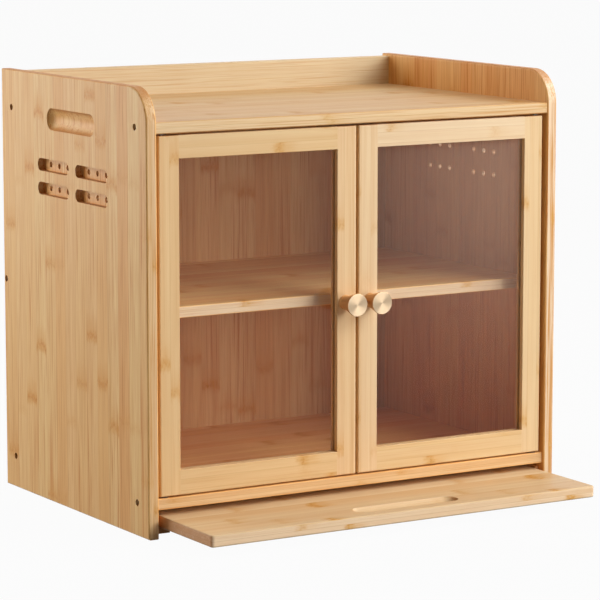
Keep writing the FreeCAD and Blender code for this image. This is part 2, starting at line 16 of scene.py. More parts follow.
import bpy
import numpy as np
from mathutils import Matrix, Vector

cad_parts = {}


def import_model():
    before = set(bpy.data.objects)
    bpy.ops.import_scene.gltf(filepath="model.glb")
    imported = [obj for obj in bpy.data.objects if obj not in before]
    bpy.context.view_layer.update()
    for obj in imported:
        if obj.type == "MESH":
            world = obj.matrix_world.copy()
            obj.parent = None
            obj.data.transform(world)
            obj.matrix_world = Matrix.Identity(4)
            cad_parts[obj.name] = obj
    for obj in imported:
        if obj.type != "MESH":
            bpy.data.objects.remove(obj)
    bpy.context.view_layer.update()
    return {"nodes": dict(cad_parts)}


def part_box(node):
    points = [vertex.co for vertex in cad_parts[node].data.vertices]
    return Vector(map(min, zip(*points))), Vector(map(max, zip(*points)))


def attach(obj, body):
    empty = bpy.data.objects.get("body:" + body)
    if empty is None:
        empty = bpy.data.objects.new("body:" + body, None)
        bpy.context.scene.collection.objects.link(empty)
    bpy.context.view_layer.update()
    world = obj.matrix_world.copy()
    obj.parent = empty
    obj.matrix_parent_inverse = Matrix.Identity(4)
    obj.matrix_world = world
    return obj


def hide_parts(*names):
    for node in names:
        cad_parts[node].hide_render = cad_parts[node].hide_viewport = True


LOG = logging.getLogger("bread_box")
MM = 0.001
TO_MM = 1000.0

Tree = bpy.types.NodeTree
Node = bpy.types.Node
Socket = bpy.types.NodeSocket
Feed = Union[Node, Socket, float, Sequence[float], str]
Pair = tuple[float, float]
Rgba = tuple[float, float, float, float]
Tint = Union[str, Rgba]
Nodes = Mapping[str, bpy.types.Object]

# Settings that many nodes share: a mix of colours, and a range that eases in and out.
COLOURS = {"data_type": "RGBA"}
EASED = {"interpolation_type": "SMOOTHSTEP"}


# ---- small helpers --------------------------------------------------------------------------------
def linear(hex_colour: str) -> Rgba:
    """Turns an sRGB hex colour into Blender's linear RGBA.

    Args:
        hex_colour: six hex digits after a "#".

    Returns:
        Linear red, green and blue, and an alpha of 1.
    """
    parts = [int(hex_colour[i : i + 2], 16) / 255.0 for i in (1, 3, 5)]
    red, green, blue = (c / 12.92 if c <= 0.04045 else ((c + 0.055) / 1.055) ** 2.4 for c in parts)
    return red, green, blue, 1.0


def add(tree: Tree, kind: str, feeds: Union[Mapping[str, Feed], Sequence[Feed]] = (), **settings) -> Node:
    """Adds a node to a tree, sets it and feeds its inputs.

    Args:
        tree: the tree that gets the node.
        kind: Blender's name of the node type, without "ShaderNode".
        feeds: what goes into the inputs, by name or in order: a node or socket to link, or a value.
            A node stands for its first output, and a string is an sRGB hex colour.
        settings: the node's own properties.

    Returns:
        The new node.
    """
    node = tree.nodes.new(kind if kind.startswith("Node") else "ShaderNode" + kind)
    for name, value in settings.items():
        setattr(node, name, value)
    open_inputs = [socket for socket in node.inputs if socket.enabled]
    pairs = feeds.items() if isinstance(feeds, Mapping) else enumerate(feeds)
    for key, feed in pairs:
        target = open_inputs[key] if isinstance(key, int) else next(s for s in open_inputs if s.name == key)
        if isinstance(feed, Node):
            feed = next(socket for socket in feed.outputs if socket.enabled)
        if isinstance(feed, Socket):
            tree.links.new(feed, target)
        else:
            target.default_value = linear(feed) if isinstance(feed, str) else feed
    return node


def new_material(name: str) -> tuple[bpy.types.Material, Tree]:
    """Makes an empty node material.

    Args:
        name: the finish's name.

    Returns:
        The material and its emptied node tree.
    """
    material = bpy.data.materials.new(name)
    material.use_nodes = True
    material.node_tree.nodes.clear()
    return material, material.node_tree


def close_material(tree: Tree, shader: Node) -> None:
    """Links a shader to the tree's surface output."""
    add(tree, "OutputMaterial", {"Surface": shader})


def dress(node: bpy.types.Object, material: bpy.types.Material) -> None:
    """Puts one material on every slot of a CAD node.

    Args:
        node: the CAD node.
        material: its finish.
    """
    if not node.material_slots:
        node.data.materials.append(material)
    for slot in node.material_slots:
        slot.material = material


# ---- bamboo ---------------------------------------------------------------------------------------
class Grain(Enum):
    """How a board was cut: the axes across its strips, through its plies and along its fibres."""

    UPRIGHT_SIDE = ("Y", "X", "Z")
    UPRIGHT_FRONT = ("X", "Y", "Z")
    LYING_BOARD = ("Y", "Z", "X")
    LYING_RAIL = ("Z", "Y", "X")
    RUNNER = ("X", "Z", "Y")


@dataclass(frozen=True)
class Lamination:
    """One way of glueing bamboo strips into a board; lengths in millimetres.

    Flat pressed boards show strips about 20 mm wide, each with its own tone, fine dark fibres along it
    and a brown node, where the culm had a joint, every 200 mm or more. Strengths and the spread of
    tones are shares of a wide board's.
    """

    strip: float = 19.0
    ply: float = 4.75
    node_spacing: float = 220.0
    node_strength: float = 1.0
    tone_spread: float = 1.0
    fibre_strength: float = 1.0


WIDE_BOARD = Lamination()
UPRIGHT_PANEL = Lamination(node_spacing=200.0, fibre_strength=1.9)
SLIDING_BOARD = Lamination(tone_spread=0.6, fibre_strength=0.45)
DOOR_STICK = Lamination(strip=9.3, ply=5.0, node_spacing=190.0, node_strength=0.7, tone_spread=0.35,
                        fibre_strength=0.45)


# Keys that keep the white noises apart, and the step from one strip's drawn noise to the next.
LAYER_KEY = 3.0
SECOND_KEY = (17.0, 5.0, 31.0)
STRIP_STEP = 40.0
# Board faces lie on whole plies, so distances are drawn in a little from both sides.
DRAWN_IN = (0.998, 0.01)


@dataclass(frozen=True)
class Streak:
    """Noise drawn out along the fibres; width and length of one streak in millimetres.

    It shows where the noise passes start, is whole from full on, and then hides the wood by cover.
    """

    width: float
    length: float
    start: float = 0.0
    full: float = 1.0
    cover: float = 1.0


@dataclass(frozen=True)
class NodeMark:
    """The mark that a joint of the culm leaves across a strip; lengths in millimetres.

    A dark core holds specks, pale glints and a thin broken line. A weaker, streaky tail lies beside
    it. The mark bends in an arch, and its edge is ragged.
    """

    core: float = 8.0
    core_cover: float = 0.75
    tail: float = 15.0
    tail_offset: float = 7.0
    tail_cover: float = 0.55
    tail_streaks: Pair = (0.35, 0.65)
    tail_least: float = 0.25
    arch: float = 40.0
    ragged: float = 11.0
    ragged_pitch: tuple[float, float, float] = (0.5, 0.5, 0.16)
    line: Pair = (0.2, 1.1)
    line_cover: float = 0.25
    speck: float = 1.5
    speck_core: Pair = (0.15, 0.45)
    speck_cover: float = 0.55
    glint_core: Pair = (0.55, 0.85)
    glint_cover: float = 0.35
    rarity: float = 1.1


@dataclass(frozen=True)
class Weave:
    """Nodes of the shared pattern that its steps read.

    Given holds the group's inputs, place three distances in millimetres, within how far across its
    strip a point lies, 0 to 1, and chance and second three random numbers of the strip each. The last
    three are drawn noises.
    """

    tree: Tree
    given: Node
    place: Socket
    within: Node
    chance: Node
    second: Node
    bands: Node
    fibres: Node
    hairs: Node


@dataclass(frozen=True)
class LacqueredBamboo:
    """Moso bamboo in its natural colour, sanded and sprayed with a satin clear lacquer.

    The eye sees honey and straw strips with thin brown fibres, soft brown node marks speckled dark and
    light, darker dotted ends, and a broad soft sheen from the lacquer. Lengths are in millimetres.
    """

    # Tones of the strips, then fibres, bare wood's cast, node marks, cut ends and glue.
    straw: str = "#EEC99C"
    cream: str = "#F4D9B7"
    honey: str = "#E7B37D"
    rose: str = "#ECBE97"
    fibre_brown: str = "#D79350"
    pale: str = "#F3F5E7"
    node_brown: str = "#DE9A38"
    speck_brown: str = "#C97D2C"
    end_brown: str = "#C77F45"
    glue: str = "#C9975E"
    # Gains on the tones in the darkest and the brightest streaks: the dark ones turn redder.
    deep: Rgba = (0.79, 0.52, 0.19, 1.0)
    bright: Rgba = (1.39, 1.68, 2.05, 1.0)
    # How much of a strip's tone is honey or cream, and how far slope, bands and fibres shade it.
    light_share: float = 0.6
    strip_slope: float = 0.26
    band_swing: float = 0.40
    fibre_swing: float = 0.75
    # Real fibres are 0.2 mm wide. They are drawn coarser, so that they show, and denser to one side.
    fibres: Streak = Streak(1.7, 130.0, 0.48, 0.72, 0.70)
    hairs: Streak = Streak(0.5, 45.0, 0.50, 0.72, 0.50)
    bands: Streak = Streak(6.0, 260.0)
    fibre_density: Pair = (0.5, 1.4)
    mark: NodeMark = NodeMark()
    # Glue lines: width, how dark they are between strips and between plies, and the turn of the faces
    # that cut across them.
    glue_width: float = 0.3
    strip_joint: float = 0.35
    ply_joint: float = 0.55
    joint_turn: Pair = (0.3, 0.7)
    # Cut ends show open pores. A turn is how far a face looks along the fibres, or through the plies.
    pores: Pair = (0.4, 0.65)
    pore_cover: Pair = (0.55, 0.95)
    end_turn: Pair = (0.5, 0.9)
    broad_turn: Pair = (0.1, 0.4)
    # Satin lacquer: fibres are a little rougher than the wood between them, and cut ends rougher still.
    roughness: float = 0.40
    fibre_roughness: Pair = (-0.06, 0.08)
    end_roughness: float = 0.15
    gloss: float = 0.22
    node_dent: float = -0.25
    bump: float = 0.25
    bump_height: float = 0.05

    def group(self) -> Tree:
        """Builds the shared pattern of strips, fibres and nodes.

        Place holds millimetres across the strips, through the plies and along the fibres, and Facing
        the surface's turn towards each of the three. Strips are the whole part of the distance across
        over the strip width, and each strip of each ply takes its tone and the heights of its nodes
        from white noise on that number.

        Returns:
            A node group with Color, Roughness and Height outputs.
        """
        tree = bpy.data.node_groups.new("bamboo_strips", "ShaderNodeTree")
        for name in ("Place", "Facing"):
            tree.interface.new_socket(name, in_out="INPUT", socket_type="NodeSocketVector")
        for name in ("Seed", "Strip", "Ply", "Spacing", "Node Strength", "Tone Spread",
                     "Fibre Strength"):
            tree.interface.new_socket(name, in_out="INPUT", socket_type="NodeSocketFloat")
        tree.interface.new_socket("Color", in_out="OUTPUT", socket_type="NodeSocketColor")
        for name in ("Roughness", "Height"):
            tree.interface.new_socket(name, in_out="OUTPUT", socket_type="NodeSocketFloat")
        given = add(tree, "NodeGroupInput")
        place = given.outputs["Place"]
        across, through, _ = add(tree, "SeparateXYZ", [place]).outputs
        face_across, face_through, face_along = add(tree, "SeparateXYZ", [given.outputs["Facing"]]).outputs

        inside = add(tree, "Math", [through, *DRAWN_IN], operation="MULTIPLY_ADD")
        plies = add(tree, "Math", [inside, given.outputs["Ply"]], operation="DIVIDE")
        ply = add(tree, "Math", [plies], operation="FLOOR")
        layer = add(tree, "CombineXYZ", [ply, given.outputs["Seed"], LAYER_KEY])
        shift = add(tree, "TexWhiteNoise", {"Vector": layer})
        strips = add(tree, "Math", [add(tree, "Math", [across, given.outputs["Strip"]], operation="DIVIDE"),
                                    shift.outputs["Value"]], operation="ADD")
        strip = add(tree, "Math", [strips], operation="FLOOR")
        within = add(tree, "Math", [strips], operation="FRACT")
        identity = add(tree, "CombineXYZ", [strip, ply, given.outputs["Seed"]])
        other_identity = add(tree, "VectorMath", [identity, SECOND_KEY], operation="ADD")
        chance, second = (
            add(tree, "SeparateColor", [add(tree, "TexWhiteNoise", {"Vector": key}).outputs["Color"]])
            for key in (identity, other_identity))

        bands = self._drawn_noise(tree, place, self.bands, chance.outputs[1])
        fibres = self._drawn_noise(tree, place, self.fibres, chance.outputs[0])
        hairs = self._drawn_noise(tree, place, self.hairs, chance.outputs[2])
        weave = Weave(tree, given, place, within, chance, second, bands, fibres, hairs)
        colour = self._fibres(weave, self._tones(weave))
        colour = self._joints(weave, colour, plies, face_across, face_through)
        colour, node_depth = self._nodes(weave, colour)

        open_pores = add(tree, "MapRange", {"Value": hairs, "From Min": self.pores[0],
                                            "From Max": self.pores[1], "To Min": self.pore_cover[0],
                                            "To Max": self.pore_cover[1]})
        end = add(tree, "MapRange", {"Value": face_along, "From Min": self.end_turn[0],
                                     "From Max": self.end_turn[1]}, **EASED)
        end = add(tree, "Math", [end, open_pores], operation="MULTIPLY")
        colour = add(tree, "Mix", {"Factor": end, "A": colour, "B": self.end_brown}, **COLOURS)

        smooth, rough = (self.roughness + swing for swing in self.fibre_roughness)
        rough = add(tree, "MapRange", {"Value": fibres, "To Min": smooth, "To Max": rough})
        rough = add(tree, "Math", [end, self.end_roughness, rough], operation="MULTIPLY_ADD")
        height = add(tree, "Math", [node_depth, self.node_dent, fibres], operation="MULTIPLY_ADD")
        add(tree, "NodeGroupOutput", {"Color": colour, "Roughness": rough, "Height": height})
        return tree

    def _drawn_noise(self, tree: Tree, place: Socket, streak: Streak, shift: Socket) -> Node:
        """Noise drawn out along the fibres.

        Args:
            tree: the pattern's tree.
            place: the three distances in millimetres.
            streak: how wide and long one streak is.
            shift: a number per strip, so that fibres don't run on into the next strip.

        Returns:
            The noise node, about 0.5 on average.
        """
        scale = (1 / streak.width, 1 / streak.width, 1 / streak.length)
        drawn = add(tree, "VectorMath", [place, scale], operation="MULTIPLY")
        depth = add(tree, "Math", [shift, STRIP_STEP], operation="MULTIPLY")
        return add(tree, "TexNoise", {"Vector": drawn, "W": depth, "Scale": 1.0, "Detail": 2.0,
                                      "Roughness": 0.55}, noise_dimensions="4D")

    def _tones(self, weave: Weave) -> Node:
        """Colour of the plain wood: the strip's tone, shaded across it and drawn over with bands.

        Args:
            weave: the pattern's common nodes.

        Returns:
            The node whose first output is the colour.
        """
        tree, given, chance, second = weave.tree, weave.given, weave.chance, weave.second
        warm = add(tree, "Mix", {"Factor": chance.outputs[0], "A": self.straw, "B": self.rose}, **COLOURS)
        light = add(tree, "Mix", {"Factor": second.outputs[1], "A": self.honey, "B": self.cream},
                    **COLOURS)
        tone = add(tree, "Mix", {"Factor": self.light_share, "A": warm, "B": light}, **COLOURS)
        tone = add(tree, "Mix", {"Factor": given.outputs["Tone Spread"], "A": self.straw, "B": tone},
                   **COLOURS)
        slope = add(tree, "Math", [add(tree, "Math", [weave.within, 0.5], operation="SUBTRACT"),
                                   add(tree, "Math", [second.outputs[2], 0.5], operation="SUBTRACT")],
                    operation="MULTIPLY")
        shade = add(tree, "Math", [slope, self.strip_slope, 0.5], operation="MULTIPLY_ADD")
        fine = add(tree, "Math", [given.outputs["Fibre Strength"], self.fibre_swing], operation="MULTIPLY")
        for layer, strength in ((weave.bands, self.band_swing), (weave.fibres, fine)):
            swing = add(tree, "Math", [layer, 0.5], operation="SUBTRACT")
            shade = add(tree, "Math", [swing, strength, shade], operation="MULTIPLY_ADD")
        cast = add(tree, "Mix", {"Factor": shade, "A": self.deep, "B": self.bright}, **COLOURS)
        return add(tree, "VectorMath", [tone, cast], operation="MULTIPLY")

    def _fibres(self, weave: Weave, colour: Node) -> Node:
        """Dark fibres, denser towards one side of each strip, as towards the culm's skin.

        Args:
            weave: the pattern's common nodes.
            colour: the plain wood.

        Returns:
            The node whose first output is the colour.
        """
        tree = weave.tree
        dark, thin = (add(tree, "MapRange", {"Value": noise, "From Min": streak.start,
                                             "From Max": streak.full, "To Max": streak.cover}, **EASED)
                      for noise, streak in ((weave.fibres, self.fibres), (weave.hairs, self.hairs)))
        dark = add(tree, "Math", [dark, thin], operation="MAXIMUM")
        skin = add(tree, "Math", [weave.within, weave.second.outputs[2]], operation="SUBTRACT")
        denser = add(tree, "MapRange", {"Value": skin, "From Min": -1.0, "To Min": self.fibre_density[0],
                                        "To Max": self.fibre_density[1]})
        dark = add(tree, "Math", [dark, denser], operation="MULTIPLY")
        dark = add(tree, "Math", [dark, weave.given.outputs["Fibre Strength"]], operation="MULTIPLY",
                   use_clamp=True)
        return add(tree, "Mix", {"Factor": dark, "A": colour, "B": self.fibre_brown}, **COLOURS)

    def _joints(self, weave: Weave, colour: Node, plies: Node, face_across: Socket,
                face_through: Socket) -> Node:
        """Thin glue lines between strips and between plies.

        A line is drawn where the distance to the nearest joint is under its width, and only on faces
        that cut across that joint.

        Args:
            weave: the pattern's common nodes.
            colour: the wood so far.
            plies: distance through the board, counted in plies.
            face_across: the surface's turn towards the next strip.
            face_through: the surface's turn towards the next ply.

        Returns:
            The node whose first output is the colour.
        """
        tree, given = weave.tree, weave.given
        ply_share = add(tree, "Math", [plies], operation="FRACT")
        for share, facing, size, strength in (
                (weave.within, face_across, given.outputs["Strip"], self.strip_joint),
                (ply_share, face_through, given.outputs["Ply"], self.ply_joint)):
            other = add(tree, "Math", [1.0, share], operation="SUBTRACT")
            edge = add(tree, "Math", [add(tree, "Math", [share, other], operation="MINIMUM"), size],
                       operation="MULTIPLY")
            line = add(tree, "MapRange", {"Value": edge, "From Max": self.glue_width, "To Min": strength,
                                          "To Max": 0.0}, **EASED)
            cut = add(tree, "MapRange", {"Value": facing, "From Min": self.joint_turn[0],
                                         "From Max": self.joint_turn[1], "To Min": 1.0, "To Max": 0.0})
            line = add(tree, "Math", [line, cut], operation="MULTIPLY")
            colour = add(tree, "Mix", {"Factor": line, "A": colour, "B": self.glue}, **COLOURS)
        return colour

    def _nodes(self, weave: Weave, colour: Node) -> tuple[Node, Node]:
        """Marks of the culm's joints: a soft stain, dark and light specks in it and a thin broken line.

        The distance to a strip's nearest joint is the distance along plus a random share of the
        spacing, folded to half the spacing each way. Noise and the square of the distance from the
        strip's middle bend it.

        Args:
            weave: the pattern's common nodes.
            colour: the wood so far.

        Returns:
            The node whose first output is the colour, and how deep the mark lies, 0 to 1.
        """
        tree, given, place, second = weave.tree, weave.given, weave.place, weave.second
        mark = self.mark
        along = add(tree, "SeparateXYZ", [place]).outputs[2]
        turns = add(tree, "Math", [along, given.outputs["Spacing"]], operation="DIVIDE")
        turns = add(tree, "Math", [turns, weave.chance.outputs[2]], operation="ADD")
        turns = add(tree, "Math", [turns], operation="FRACT")
        folded = add(tree, "Math", [turns, 0.5], operation="SUBTRACT")
        distance = add(tree, "Math", [folded, given.outputs["Spacing"]], operation="MULTIPLY")
        side = add(tree, "Math", [weave.within, 0.5], operation="SUBTRACT")
        bend = add(tree, "Math", [second.outputs[1], 0.5], operation="SUBTRACT")
        arch = add(tree, "Math", [bend, mark.arch], operation="MULTIPLY")
        bow = add(tree, "Math", [add(tree, "Math", [side, side], operation="MULTIPLY"), arch, distance],
                  operation="MULTIPLY_ADD")
        coarse = add(tree, "VectorMath", [place, mark.ragged_pitch], operation="MULTIPLY")
        ragged = add(tree, "TexNoise", {"Vector": coarse, "Scale": 1.0, "Detail": 2.0})
        ragged = add(tree, "Math", [ragged, 0.5], operation="SUBTRACT")
        off_line = add(tree, "Math", [ragged, mark.ragged, bow], operation="MULTIPLY_ADD")
        reach = add(tree, "Math", [off_line], operation="ABSOLUTE")
        core = add(tree, "MapRange", {"Value": reach, "From Max": mark.core, "To Min": 1.0, "To Max": 0.0},
                   **EASED)

        beside = add(tree, "Math", [off_line, mark.tail_offset], operation="SUBTRACT")
        tail = add(tree, "MapRange", {"Value": add(tree, "Math", [beside], operation="ABSOLUTE"),
                                      "From Max": mark.tail, "To Min": 1.0, "To Max": 0.0}, **EASED)
        streaky = add(tree, "MapRange", {"Value": weave.fibres, "From Min": mark.tail_streaks[0],
                                         "From Max": mark.tail_streaks[1], "To Min": mark.tail_least})
        tail = add(tree, "Math", [add(tree, "Math", [tail, streaky], operation="MULTIPLY"),
                                  mark.tail_cover], operation="MULTIPLY")

        cell_scale = (1 / mark.speck, 1 / mark.speck, 0.5 / mark.speck)
        drawn = add(tree, "VectorMath", [place, cell_scale], operation="MULTIPLY")
        cells = add(tree, "TexVoronoi", {"Vector": drawn, "Scale": 1.0}).outputs["Distance"]
        specks = add(tree, "MapRange", {"Value": cells, "From Min": mark.speck_core[0],
                                        "From Max": mark.speck_core[1], "To Min": 1.0, "To Max": 0.0},
                     **EASED)
        glints = add(tree, "MapRange", {"Value": cells, "From Min": mark.glint_core[0],
                                        "From Max": mark.glint_core[1]}, **EASED)
        line = add(tree, "MapRange", {"Value": reach, "From Min": mark.line[0], "From Max": mark.line[1],
                                      "To Min": mark.line_cover, "To Max": 0.0}, **EASED)

        strength = add(tree, "Math", [add(tree, "Math", [second.outputs[0], mark.rarity], operation="POWER"),
                                      given.outputs["Node Strength"]], operation="MULTIPLY", use_clamp=True)
        stain = add(tree, "Math", [core, mark.core_cover, tail], operation="MULTIPLY_ADD")
        stain = add(tree, "Math", [stain, strength], operation="MULTIPLY", use_clamp=True)
        dots = add(tree, "Math", [specks, mark.speck_cover, line], operation="MULTIPLY_ADD")
        dots = add(tree, "Math", [core, dots], operation="MULTIPLY")
        dots = add(tree, "Math", [dots, strength], operation="MULTIPLY", use_clamp=True)
        shine = add(tree, "Math", [add(tree, "Math", [core, glints], operation="MULTIPLY"),
                                   mark.glint_cover], operation="MULTIPLY")
        shine = add(tree, "Math", [shine, strength], operation="MULTIPLY")
        for share, paint in ((stain, self.node_brown), (dots, self.speck_brown), (shine, self.cream)):
            colour = add(tree, "Mix", {"Factor": share, "A": colour, "B": paint}, **COLOURS)
        return colour, dots

    def board(self, pattern: Tree, node: bpy.types.Object, grain: Grain, lamination: Lamination,
              seed: float, face_tint: Tint = "", edge_tint: Tint = "") -> bpy.types.Material:
        """Finish of one board, its strips counted from the board's own edge.

        Args:
            pattern: the group from group().
            node: the CAD node that gets it.
            grain: how the board was cut.
            lamination: how it was glued.
            seed: a number of its own, so that no two boards match.
            face_tint: what the broad faces' colour is multiplied by, pale if none is given: a hex
                colour, or linear gains.
            edge_tint: the same for the narrow faces.

        Returns:
            The material.
        """
        material, tree = new_material("bamboo_" + node.name)
        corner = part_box(node.name)[0] * TO_MM
        held = add(tree, "TexCoord")
        millimetres = add(tree, "Mapping", {"Vector": held.outputs["Object"], "Location": tuple(-corner),
                                            "Scale": (TO_MM,) * 3})
        turned = add(tree, "VectorMath", [held.outputs["Normal"]], operation="ABSOLUTE")
        feeds = []
        for vector in (millimetres, turned):
            axes = add(tree, "SeparateXYZ", [vector])
            feeds.append(add(tree, "CombineXYZ", [axes.outputs["XYZ".index(axis)] for axis in grain.value]))
        strips = add(tree, "Group", node_tree=pattern)
        for socket, feed in zip(strips.inputs, feeds):
            tree.links.new(feed.outputs[0], socket)
        values = (seed, lamination.strip, lamination.ply, lamination.node_spacing, lamination.node_strength,
                  lamination.tone_spread, lamination.fibre_strength)
        for socket, value in zip(list(strips.inputs)[len(feeds):], values):
            socket.default_value = value
        broad = add(tree, "MapRange", {"Value": add(tree, "SeparateXYZ", [feeds[1]]).outputs[1],
                                       "From Min": self.broad_turn[0], "From Max": self.broad_turn[1]},
                    **EASED)
        tint = add(tree, "Mix", {"Factor": broad, "A": edge_tint or self.pale,
                                 "B": face_tint or self.pale}, **COLOURS)
        cast = add(tree, "Mix", {"Factor": 1.0, "A": strips.outputs["Color"], "B": tint},
                   **COLOURS, blend_type="MULTIPLY")
        bump = add(tree, "Bump", {"Strength": self.bump, "Distance": self.bump_height * MM,
                                  "Height": strips.outputs["Height"]})
        wood = add(tree, "BsdfPrincipled", {"Base Color": cast, "Roughness": strips.outputs["Roughness"],
                                            "Specular IOR Level": self.gloss, "Normal": bump})
        close_material(tree, wood)
        return material


# ---- metals, plastics and panes -------------------------------------------------------------------
@dataclass(frozen=True)
class ClearAcrylic:
    """Cast acrylic sheet, polished: clear, faint mirror images, and a painted haze that stands in for glare
    reflected in it.

    The painted haze is a warm matt film, a reflection painted on the sheet. It grows from its least to its
    full share to the right and upwards, between the two places given for each, in metres.
    """

    cast: str = "#FEFDFC"
    ior: float = 1.33
    roughness: float = 0.03
    painted_haze: Pair = (0.008, 0.10)
    painted_haze_cast: str = "#FFDFC6"
    painted_haze_right: Pair = (-0.08, 0.17)
    painted_haze_up: Pair = (0.03, 0.31)

    def material(self) -> bpy.types.Material:
        """Sheet that lets light straight through and reflects by Fresnel's share.

        Light isn't bent on its way in, so only the face that it enters by reflects. From inside, the share
        would rise to a full mirror at a slant. The painted haze scatters light like a matt, warm film, and
        stands in for glare reflected towards the upper right.

        Returns:
            The material.
        """
        material, tree = new_material("clear_acrylic")
        through = add(tree, "BsdfTransparent", {"Color": self.cast})
        gloss = add(tree, "BsdfGlossy", {"Color": "#FFFFFF", "Roughness": self.roughness})
        share = add(tree, "Fresnel", {"IOR": self.ior})
        inner = add(tree, "NewGeometry").outputs["Backfacing"]
        share = add(tree, "Math", [share, add(tree, "Math", [1.0, inner], operation="SUBTRACT")],
                    operation="MULTIPLY")
        polished = add(tree, "MixShader", [share, through, gloss])
        # Painted reflection: a warm matt haze on the pane, thicker to the right and upwards.
        right, _, up = add(tree, "SeparateXYZ", [add(tree, "TexCoord").outputs["Object"]]).outputs
        grown = [add(tree, "MapRange", {"Value": way, "From Min": low, "From Max": high}, **EASED)
                 for way, (low, high) in ((right, self.painted_haze_right), (up, self.painted_haze_up))]
        painted_haze = add(tree, "MapRange", {"Value": add(tree, "Math", grown, operation="MULTIPLY"),
                                       "To Min": self.painted_haze[0], "To Max": self.painted_haze[1]})
        painted_haze_film = add(tree, "BsdfDiffuse", {"Color": self.painted_haze_cast})
        close_material(tree, add(tree, "MixShader", [painted_haze, polished, painted_haze_film]))
        return material


@dataclass(frozen=True)
class TurnedBrass:
    """Pale satin brass, turned on a lathe: fine rings stretch each light into a fan on the face."""

    colour: str = "#CAB59D"
    dark: str = "#B39973"
    # Painted reflection: the cone's darker orange stands for the wooden door mirrored in it.
    side: str = "#BC8B58"
    ring: float = 0.35
    roughness: float = 0.5
    roughness_swing: float = 0.06
    anisotropy: float = 0.84
    across_rings: float = 0.25
    # The face keeps the brass colour, and the cone takes the painted reflection of the door: the face's
    # normal points to the front by at least this much.
    face_turn: Pair = (-0.5, -0.9)

    def material(self) -> bpy.types.Material:
        """Brass whose rings follow the piece's UV map: U runs round the axis, V along the profile.

        Returns:
            The material.
        """
        material, tree = new_material("turned_brass")
        place = add(tree, "SeparateXYZ", [add(tree, "UVMap", uv_map=Knob.UV_NAME)])
        rings = add(tree, "Math", [place.outputs[1], TO_MM / self.ring], operation="MULTIPLY")
        marks = add(tree, "TexNoise", {"W": rings, "Scale": 1.0, "Detail": 2.0}, noise_dimensions="1D")
        colour = add(tree, "Mix", {"Factor": marks, "A": self.dark, "B": self.colour}, **COLOURS)
        front = add(tree, "SeparateXYZ", [add(tree, "TexCoord").outputs["Normal"]]).outputs[1]
        face = add(tree, "MapRange", {"Value": front, "From Min": self.face_turn[0],
                                      "From Max": self.face_turn[1]}, **EASED)
        # Painted reflection of the door on the cone, which faces back towards it.
        colour = add(tree, "Mix", {"Factor": face, "A": self.side, "B": colour}, **COLOURS)
        rough = add(tree, "MapRange", {"Value": marks, "To Min": self.roughness - self.roughness_swing,
                                       "To Max": self.roughness + self.roughness_swing})
        tangent = add(tree, "Tangent", direction_type="UV_MAP", uv_map=Knob.UV_NAME)
        brass = add(tree, "BsdfPrincipled", {"Base Color": colour, "Metallic": 1.0, "Roughness": rough,
                                             "Anisotropic": self.anisotropy, "Tangent": tangent,
                                             "Anisotropic Rotation": self.across_rings})
        close_material(tree, brass)
        return material


@dataclass(frozen=True)
class Solid:
    """A plain stock that is hardly seen: a colour, its darker mottle and the mottle's size in mm."""

    name: str
    colour: str
    mottle: str
    grain: float
    roughness: float
    metallic: float = 0.0
    roughness_swing: float = 0.08
    bump: float = 0.3
    bump_height: float = 0.05

    def material(self) -> bpy.types.Material:
        """Two close tones mixed by noise, which also roughens the surface a little.

        Returns:
            The material.
        """
        material, tree = new_material(self.name)
        held = add(tree, "TexCoord")
        noise = add(tree, "TexNoise", {"Vector": held.outputs["Object"], "Scale": TO_MM / self.grain,
                                       "Detail": 3.0})
        colour = add(tree, "Mix", {"Factor": noise, "A": self.mottle, "B": self.colour}, **COLOURS)
        rough = add(tree, "MapRange", {"Value": noise, "To Min": self.roughness - self.roughness_swing,
                                       "To Max": self.roughness + self.roughness_swing})
        bump = add(tree, "Bump", {"Strength": self.bump, "Distance": self.bump_height * MM,
                                  "Height": noise})
        shader = add(tree, "BsdfPrincipled", {"Base Color": colour, "Metallic": self.metallic,
                                              "Roughness": rough, "Normal": bump})
        close_material(tree, shader)
        return material


# Zinc-plated screws shine a little, moulded nylon and ABS are matt, sintered ferrite is nearly black,
# and the beech dowels are bare wood.
ZINC_STEEL = Solid("zinc_plated_steel", "#8E8A84", "#5E5A55", 0.6, 0.38, 1.0)
NYLON = Solid("brown_nylon", "#5E3D24", "#52341E", 1.2, 0.45)
CATCH_ABS = Solid("tan_abs", "#A57B52", "#96704A", 0.5, 0.5)
FERRITE = Solid("ferrite", "#3A3735", "#2A2827", 0.8, 0.6)
BEECH = Solid("beech", "#CDA676", "#B98F5F", 1.5, 0.6)


